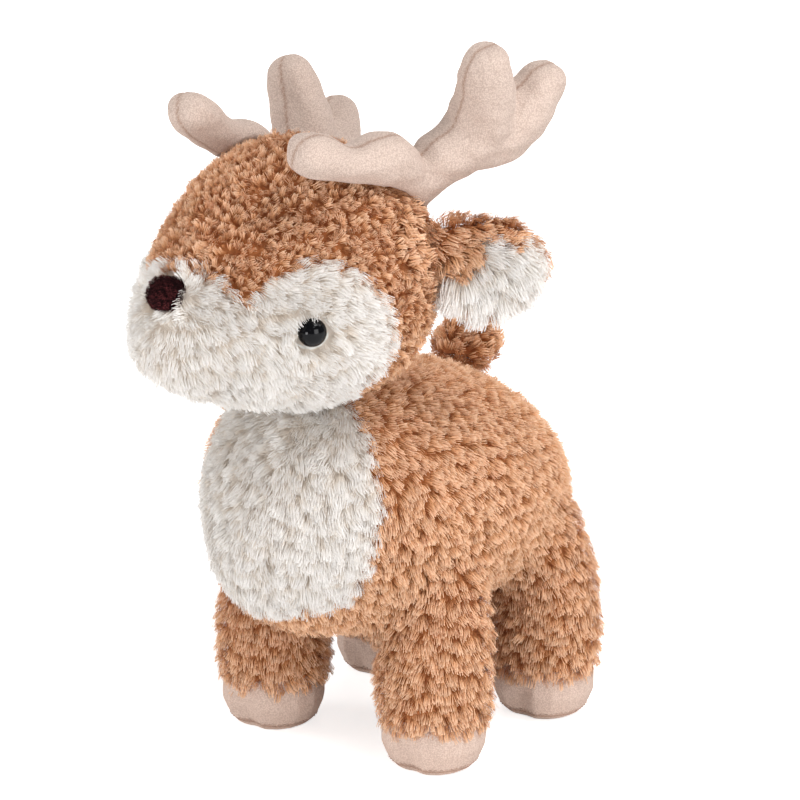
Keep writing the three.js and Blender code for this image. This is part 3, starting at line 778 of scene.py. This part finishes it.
def stitch_mesh():
    """One stitch: a short thread that dips into the cloth at both ends"""
    points, faces = [], []
    for x, rise, half in STITCH_PLACES:
        for y, z in ((-half, rise - half), (half, rise - half), (half, rise + half), (-half, rise + half)):
            points.append(Vector((x, y, z)) * MM)
    for row in range(len(STITCH_PLACES) - 1):
        for k in range(4):
            a, b = row * 4 + k, row * 4 + (k + 1) % 4
            faces.append((a, b, b + 4, a + 4))
    faces += [(3, 2, 1, 0), (12, 13, 14, 15)]
    return mesh_from("stitch", points, faces)


def seam_tree():
    inputs = (("Seam", "Geometry"), ("Stitch", "Object"), ("Pitch", "Float"), ("Finish", "Material"))
    tree, given = new_tree("stitches along a seam", inputs, "Stitches")
    line = add(tree, "GeometryNodeMeshToCurve", {"Mesh": given["Seam"]})
    spots = add(tree, "GeometryNodeCurveToPoints",
                {"Curve": line.outputs[0], "Length": given["Pitch"]}, mode="LENGTH")
    stitch = add(tree, "GeometryNodeObjectInfo", {"Object": given["Stitch"]})
    out = add(tree, "GeometryNodeInputNamedAttribute", {"Name": "out"}, data_type="FLOAT_VECTOR")
    along = add(tree, "FunctionNodeAlignRotationToVector", {"Vector": spots.outputs["Tangent"]}, axis="X")
    laid = add(tree, "FunctionNodeAlignRotationToVector",
               {"Rotation": along.outputs[0], "Vector": out.outputs["Attribute"]}, axis="Z", pivot_axis="X")
    placed = add(tree, "GeometryNodeInstanceOnPoints",
                 {"Points": spots.outputs["Points"], "Instance": stitch.outputs["Geometry"],
                  "Rotation": laid.outputs[0]})
    solid = add(tree, "GeometryNodeRealizeInstances", {"Geometry": placed.outputs[0]})
    done = add(tree, "GeometryNodeSetMaterial", {"Geometry": solid.outputs[0], "Material": given["Finish"]})
    add(tree, "NodeGroupOutput", {0: done.outputs[0]})
    return tree


stitches_on_seam = seam_tree()
seam_inputs = identifiers(stitches_on_seam)
stitch = bpy.data.objects.new("stitch", stitch_mesh())

# The hoof's seam over the floor: its height, its half width and how far it is drawn in
SEAM_HEIGHT, SEAM_WIDTH, SEAM_DRAWN = 2.8 * MM, 0.7 * MM, 0.4 * MM
# Its stitches: their height over it, and how far apart they are
STITCH_RISE, STITCH_PITCH = 1.3 * MM, 2.3 * MM
# The ring that they follow: its places, and how far round each takes in the cloth, in radians
RING_PLACES, RING_BLUR = 72, 0.06
# The height up to which the hoof's cloth goes, inside the sleeve's cuff
HOOF_TOP = 25 * MM


def hoof(leg):
    """Cap and sole, rounded as stuffed cloth is, with a stitched seam low over the floor"""
    names = [f"hoof_{leg}_cover", f"hoof_{leg}_sole"]

    def split(place, owner):
        return -1 if place.z > HOOF_TOP else 1 if place.z < SEAM_HEIGHT else 0

    skin = stuffed_skin(names + [f"leg_{leg}_filling"], voxel=0.9 * MM, smoothing=6)
    skins = patches(skin, names, inset=0, claim=split)
    for name in names:
        patch = skins[name]
        points, normals = patch["points"], patch["normals"]
        drawn = np.exp(-((points[:, 2:] - SEAM_HEIGHT) / SEAM_WIDTH) ** 2)
        points = points - normals * drawn * SEAM_DRAWN
        mesh = mesh_from(name, points, patch["faces"])
        # The seam's mask, which the suedette darkens as painted shade in the groove
        store(mesh, "seam", drawn.ravel())
        piece = show(name + ".cloth", mesh, hoof_suedette)
        stand_in_for(piece, "body", [name])
    hoof_stitches(leg, skins[names[0]], box_middle(names[0]))


def hoof_stitches(leg, patch, middle):
    """Stitches along a ring that lies in the cap's cloth, a little over the seam"""
    points, normals = patch["points"][:patch["outer"]], patch["normals"][:patch["outer"]]
    near = np.abs(points[:, 2] - SEAM_HEIGHT - STITCH_RISE) < SEAM_WIDTH
    points, normals = points[near], normals[near]
    angles = np.arctan2(points[:, 1] - middle.y, points[:, 0] - middle.x)
    ring, ways = [], []
    for angle in np.linspace(-math.pi, math.pi, RING_PLACES, endpoint=False):
        off = np.abs((angles - angle + math.pi) % (2 * math.pi) - math.pi)
        weight = np.exp(-(off / RING_BLUR) ** 2)[:, None]
        ring.append((points * weight).sum(axis=0) / weight.sum())
        ways.append((normals * weight).sum(axis=0))
    seam = bpy.data.meshes.new("seam")
    seam.from_pydata([tuple(p) for p in ring], [(k, (k + 1) % RING_PLACES) for k in range(RING_PLACES)], [])
    store(seam, "out", unit(np.array(ways)).ravel(), "FLOAT_VECTOR")
    obj = show("seam", seam, thread, smooth=False)
    modifier = obj.modifiers.new("stitches", "NODES")
    modifier.node_group = stitches_on_seam
    for key, value in {"Stitch": stitch, "Pitch": STITCH_PITCH, "Finish": thread}.items():
        modifier[seam_inputs[key]] = value
    piece = show(f"hoof_{leg}.stitches", plain_mesh(obj), thread)
    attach(piece, "body")


# Where the ear's back is folded round to the front: up to this far behind the lining, out to this
# far from the root, all over this near to the root, and down to this far under it
RIM_DEPTH, RIM_OUT, ROOT_OUT, ROOT_DOWN = 5.5 * MM, 38 * MM, 22 * MM, 13 * MM
# How steeply the line falls outwards, over which the ear counts as its upper edge
RIM_FALL = 0.3
# The longest pile of the lining hangs around this place under the root
LINING_HANG = Vector((0, 0, -18)) * MM


def ear(side):
    layers = [f"ear_{side}_back", f"ear_{side}_lining"]
    body = f"{side}_ear"
    root = joint_at[body]

    back = nodes[layers[0]].data
    back_tree = BVHTree.FromPolygons([v.co for v in back.vertices], [p.vertices for p in back.polygons])
    middle = box_middle(layers[1])

    def folded(place, owner):
        """The back comes round to the front at the root and along the upper edge"""
        above = (place - middle).z + RIM_FALL * ((place - root).length - (middle - root).length)
        rim = above > 0 and back_tree.find_nearest(place)[3] < RIM_DEPTH
        out = (place - root).length
        near = out < ROOT_OUT and (place - root).z > -ROOT_DOWN
        return 0 if near or (rim and out < RIM_OUT) else owner

    skin = stuffed_skin(layers, voxel=1.6 * MM, smoothing=8)
    skins = patches(skin, layers, inset=2.5 * MM, thickness=0.8 * MM, claim=folded)
    backing = skins[layers[0]]
    rooted = raised_near(backing["points"], [root], radius=14 * MM, low=1.25, high=1.9)
    piece = furred(layers[0] + ".pile", backing, away_from(root, (0, 0, -0.2)), curly_pile, tan_plush,
                   lift=0.6, grown=rooted, spacing=1.1 * MM, tuft_width=4.4 * MM, disorder=0.12, twist=0.8,
                   overlap=0.5, relief=0.5, unruliness=5 * MM)
    stand_in_for(piece, body, [layers[0]])
    lining = skins[layers[1]]
    hanging = raised_near(lining["points"], [root + LINING_HANG], radius=22 * MM, low=1.0, high=1.4)
    halfway = root + (middle - root) * 0.5
    piece = furred(layers[1] + ".pile", lining, away_from(halfway, (0, 0, -0.9)), white_pile, white_plush,
                   lift=0.6, grown=hanging * 1.2, tuft_width=5 * MM, tuft_reach=8 * MM, disorder=0.12,
                   overlap=0.6, relief=0.4, unruliness=4 * MM)
    stand_in_for(piece, body, [layers[1]])


def tail():
    skin = stuffed_skin(["tail_cover", "tail_filling"], voxel=2 * MM, smoothing=6)
    skins = patches(skin, ["tail_cover"], inset=3.5 * MM)
    tail_lie = away_from(joint_at["tail"], (0, 0, -0.6))
    piece = furred("tail_cover.pile", skins["tail_cover"], tail_lie, curly_pile, tan_plush, lift=0.75,
                   grown=1.3, spacing=0.95 * MM, tuft_width=4 * MM, disorder=0.2, twist=1.0, overlap=0.5,
                   relief=0.45, unruliness=5 * MM)
    stand_in_for(piece, "tail", ["tail_cover"])


# Where the brow tine swells or is drawn in, as a share of its length, and how far; how long each
# such place is, as a share; and how strong it is on each antler
BROW_WAVES = ((0.34, 1.4 * MM), (0.63, -2.6 * MM), (0.9, 1.2 * MM))
WAVE_LENGTH, WAVE_STRENGTH = 0.12, {"left": 1.0, "right": 0.5}
# The waves set in from this share of the tine on, over this share, and over this height above its
# middle line
WAVE_START, WAVE_GROWTH, WAVE_RISE = 0.1, 0.2, 5 * MM


def with_brow_waves(points, side):
    """The antler's points with the brow tine's upper side swollen and drawn in"""
    root = np.array(joint_at[f"{side}_antler"])
    tine = points[np.argmin(points[:, 1])] - root
    length = np.linalg.norm(tine)
    tine = tine / length
    rise = np.array([0.0, 0.0, 1.0]) - tine * tine[2]
    rise = rise / np.linalg.norm(rise)
    share = (points - root) @ tine / length
    upper = np.clip((points - root) @ rise / WAVE_RISE, 0, 1)
    upper *= np.clip((share - WAVE_START) / WAVE_GROWTH, 0, 1)
    wave = sum(height * np.exp(-((share - place) / WAVE_LENGTH) ** 2) for place, height in BROW_WAVES)
    return points + rise * (upper * wave)[:, None] * WAVE_STRENGTH[side]


# How much the antler is stuffed thicker and fuller than its solid, and its seam's width and depth
ANTLER_THICKER, ANTLER_FULLER, ANTLER_SEAM, ANTLER_SEAM_DEPTH = 0.22, 0.5 * MM, 0.6 * MM, 0.3 * MM


def antler(side):
    """Two flat suedette halves, stuffed firm, with their seam round the edge of the antler"""
    names = [f"antler_{side}_cover", f"antler_{side}_filling"]
    mesh = stuffed_skin(names, voxel=1.1 * MM, smoothing=22)
    points, normals = points_of(mesh), normals_of(mesh)
    middle = points.mean(axis=0)
    # The way in which the antler is thinnest
    flat_way = np.linalg.svd(points - middle, full_matrices=False)[2][2]
    depth = ((points - middle) @ flat_way)[:, None]
    seam = np.exp(-(depth / ANTLER_SEAM) ** 2)
    puckers = wander(points, **ANTLER_PUCKERS)[:, :1]
    fuller = ANTLER_FULLER + puckers - seam * ANTLER_SEAM_DEPTH
    points = points + flat_way * depth * ANTLER_THICKER + normals * fuller
    mesh.vertices.foreach_set("co", with_brow_waves(points, side).ravel())
    mesh.update()
    # The seam's mask, which the suedette darkens as painted shade in the groove
    store(mesh, "seam", seam.ravel())
    piece = show(f"antler_{side}_cover.cloth", mesh, suedette)
    stand_in_for(piece, f"{side}_antler", names[:1])


trunk_and_legs()
head()
nose()
for side in SIDES:
    eye(side)
    washer(side)
    ear(side)
    antler(side)
for leg in LEGS:
    hoof(leg)
tail()

for name in ["trunk", "head"] + [f"leg_{leg}" for leg in LEGS]:
    stuffing(name + "_filling", "body", voxel=3 * MM)
for side in SIDES:
    stuffing(f"antler_{side}_filling", f"{side}_antler", voxel=1.5 * MM, inset=1.2 * MM)
stuffing("tail_filling", "tail", voxel=1.5 * MM, inset=4 * MM)


# Floor, light and camera

# The height over the floor at which the lamps aim, in metres
LAMP_AIM = 0.15
WHITE = (1, 1, 1, 1)
FLOOR_GLOW, WORLD_LEVEL = 0.68, 0.28
# Half the floor's side, in metres
FLOOR_REACH = 6


def stage_material():
    """A pale floor that looks white to the camera and in reflections, and keeps its shadows"""
    material, tree, shader = new_material("pale floor")
    set_sockets(shader, {"Base Color": (0.9, 0.9, 0.9, 1), "Roughness": 0.9})
    ray = add(tree, "ShaderNodeLightPath")
    seen = number_math(tree, "MAXIMUM", ray.outputs["Is Camera Ray"], ray.outputs["Is Glossy Ray"])
    glow = add(tree, "ShaderNodeEmission", {"Color": WHITE, "Strength": FLOOR_GLOW})
    lit = add(tree, "ShaderNodeAddShader", {0: shader.outputs[0], 1: glow.outputs[0]})
    mix = add(tree, "ShaderNodeMixShader", {0: seen, 1: shader.outputs[0], 2: lit.outputs[0]})
    tree.links.new(mix.outputs[0], tree.nodes["Material Output"].inputs["Surface"])
    return material


def floor():
    points = [(x * FLOOR_REACH, y * FLOOR_REACH, 0) for x, y in ((-1, -1), (1, -1), (1, 1), (-1, 1))]
    show("floor", mesh_from("floor", points, [(0, 1, 2, 3)]), stage_material(), smooth=False)


def seen_from(azimuth, elevation):
    """The way from the deer to a place round it, counted from its front towards its left"""
    a, e = math.radians(azimuth), math.radians(elevation)
    return Vector((math.sin(a) * math.cos(e), -math.cos(a) * math.cos(e), math.sin(e)))


def lamp(name, azimuth, elevation, distance, size, power):
    data = bpy.data.lights.new(name, "AREA")
    data.shape = "SQUARE"
    data.size = size
    data.energy = power
    obj = bpy.data.objects.new(name, data)
    place = seen_from(azimuth, elevation) * distance
    obj.location = feet_middle + Vector((0, 0, LAMP_AIM)) + place
    obj.rotation_euler = place.to_track_quat("Z", "Y").to_euler()
    bpy.context.scene.collection.objects.link(obj)


def world():
    surroundings = bpy.data.worlds.new("studio")
    bpy.context.scene.world = surroundings
    surroundings.use_nodes = True
    tree = surroundings.node_tree
    soft = tree.nodes["Background"]
    set_sockets(soft, {"Color": WHITE, "Strength": WORLD_LEVEL})
    white = add(tree, "ShaderNodeBackground", {"Color": WHITE, "Strength": 1.0})
    ray = add(tree, "ShaderNodeLightPath")
    mix = add(tree, "ShaderNodeMixShader",
              {0: ray.outputs["Is Camera Ray"], 1: soft.outputs[0], 2: white.outputs[0]})
    tree.links.new(mix.outputs[0], tree.nodes["World Output"].inputs["Surface"])


# The photo's view: how far round and up the camera stands in degrees, its distance in metres, its
# lens and its sensor in mm, and its target beside and over the middle of the feet in mm
AZIMUTH, ELEVATION, DISTANCE, LENS, SENSOR = 37.0, 16.5, 1.7, 170, 36
TARGET_ASIDE, TARGET_UP = -4.7, 140.4


def camera():
    back = seen_from(AZIMUTH, ELEVATION)
    right = Vector((math.cos(math.radians(AZIMUTH)), math.sin(math.radians(AZIMUTH)), 0))
    up = back.cross(right)
    data = bpy.data.cameras.new("camera")
    data.sensor_width = SENSOR
    data.lens = LENS
    data.clip_start = 0.05
    obj = bpy.data.objects.new("camera", data)
    place = feet_middle + (right * TARGET_ASIDE + up * TARGET_UP) * MM + back * DISTANCE
    turn = Matrix((right, up, back)).transposed()
    obj.matrix_world = Matrix.Translation(place) @ turn.to_4x4()
    bpy.context.scene.collection.objects.link(obj)
    bpy.context.scene.camera = obj


# Name, degrees round and up, distance and side in metres, and power in watts
LAMPS = (
    ("high window", 85, 58, 1.7, 0.6, 11.5),
    ("right window", 72, 12, 1.7, 0.8, 11.5),
    ("left window", -58, 10, 1.7, 0.8, 13),
    ("front fill", 8, 2, 1.9, 0.5, 10),
    ("back window", 214, 24, 1.7, 1.0, 7),
    ("window over the back", 128, 48, 1.7, 0.8, 6),
    ("small window", 62, 42, 1.7, 0.12, 0.7),
)

floor()
world()
for row in LAMPS:
    lamp(*row)
camera()
bpy.context.scene.view_settings.view_transform = "Standard"
